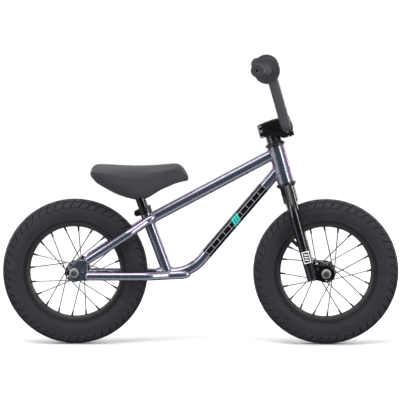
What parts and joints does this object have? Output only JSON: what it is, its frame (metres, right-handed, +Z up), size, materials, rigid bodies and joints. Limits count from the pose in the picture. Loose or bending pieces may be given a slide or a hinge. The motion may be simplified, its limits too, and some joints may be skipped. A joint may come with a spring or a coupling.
{
  "type": "balance bike",
  "caption": "Child's balance bike: a steel frame, steerable fork, spoked wheels on balloon tyres, riser handlebar with flanged grips and a saddle on a sliding post.",
  "frame": {"origin": "on the ground, midway between the two wheel contact points", "axes": "+X forwards, +Y to the rider's left, +Z up"},
  "size_m": [0.864, 0.476, 0.6284],
  "materials": {
    "frame_paint": "gloss metallic grey-violet",
    "black_paint": "gloss black",
    "bar_paint": "satin black",
    "black_alloy": "black anodised",
    "spoke_steel": "bright",
    "bearing_steel": "ground",
    "zinc_steel": "zinc plated",
    "tyre_rubber": "moulded rubber",
    "tube_rubber": "smooth rubber",
    "grip_rubber": "moulded rubber",
    "saddle_foam": "matt skin on foam",
    "base_plastic": "moulded"
  },
  "bodies": {
    "frame": {"head_tube": "frame_paint", "down_tube": "frame_paint", "seat_tube": "frame_paint", "top_tube": "frame_paint", "seat_stay_left": "frame_paint", "seat_stay_right": "frame_paint", "chain_stay_left": "frame_paint", "chain_stay_right": "frame_paint", "rear_dropout_left": "frame_paint", "rear_dropout_right": "frame_paint", "headset_lower_cup": "black_alloy", "headset_upper_cup": "black_alloy", "seat_clamp": "black_alloy", "seat_clamp_bolt": "black_paint", "rear_axle": "zinc_steel", "rear_axle_nut_left": "zinc_steel", "rear_axle_nut_right": "zinc_steel"},
    "fork": {"fork_steerer": "black_paint", "fork_leg_left": "black_paint", "fork_leg_right": "black_paint", "headset_lower_bearing": "bearing_steel", "headset_upper_bearing": "bearing_steel", "headset_crown_race": "black_alloy", "headset_spacer": "black_alloy", "stem_body": "black_alloy", "stem_pinch_bolt_upper": "black_alloy", "stem_pinch_bolt_lower": "black_alloy", "stem_face_plate": "black_alloy", "face_bolt_upper_left": "black_paint", "face_bolt_upper_right": "black_paint", "face_bolt_lower_left": "black_paint", "face_bolt_lower_right": "black_paint", "stem_top_cap": "black_alloy", "top_cap_bolt": "black_paint", "star_nut": "bearing_steel", "front_axle": "zinc_steel", "front_axle_nut_left": "zinc_steel", "front_axle_nut_right": "zinc_steel"},
    "rear_wheel": {"rear_tyre": "tyre_rubber", "rear_rim": "black_alloy", "rear_inner_tube": "tube_rubber", "rear_hub_shell": "black_alloy", "rear_hub_bearing_left": "bearing_steel", "rear_hub_bearing_right": "bearing_steel", "rear_spokes_left": "spoke_steel", "rear_spokes_right": "spoke_steel"},
    "front_wheel": {"front_tyre": "tyre_rubber", "front_rim": "black_alloy", "front_inner_tube": "tube_rubber", "front_hub_shell": "black_alloy", "front_hub_bearing_left": "bearing_steel", "front_hub_bearing_right": "bearing_steel", "front_spokes_left": "spoke_steel", "front_spokes_right": "spoke_steel"},
    "handlebar": {"handlebar": "bar_paint", "grip_left": "grip_rubber", "grip_right": "grip_rubber"},
    "seat": {"seat_post": "black_paint", "saddle_base": "base_plastic", "saddle": "saddle_foam"}
  },
  "joints": [
    {"name": "steering", "type": "hinge", "parent": "frame", "child": "fork", "pos_m": [0.24268, 0, 0.1499], "axis": [-0.2689, 0, 0.9632], "continuous": true},
    {"name": "rear_wheel_spin", "type": "hinge", "parent": "frame", "child": "rear_wheel", "pos_m": [-0.2735, 0, 0.1585], "axis": [0, 1, 0], "continuous": true},
    {"name": "front_wheel_spin", "type": "hinge", "parent": "fork", "child": "front_wheel", "pos_m": [0.2735, 0, 0.1585], "axis": [0, 1, 0], "continuous": true},
    {"name": "bar_tilt", "type": "hinge", "parent": "fork", "child": "handlebar", "pos_m": [0.18627, 0, 0.475], "axis": [0, 1, 0], "range_deg": [-20, 20]},
    {"name": "seat_height", "type": "slide", "parent": "frame", "child": "seat", "axis": [-0.3453, 0, 0.9385], "range_m": [-0.008, 0.05]}
  ]
}
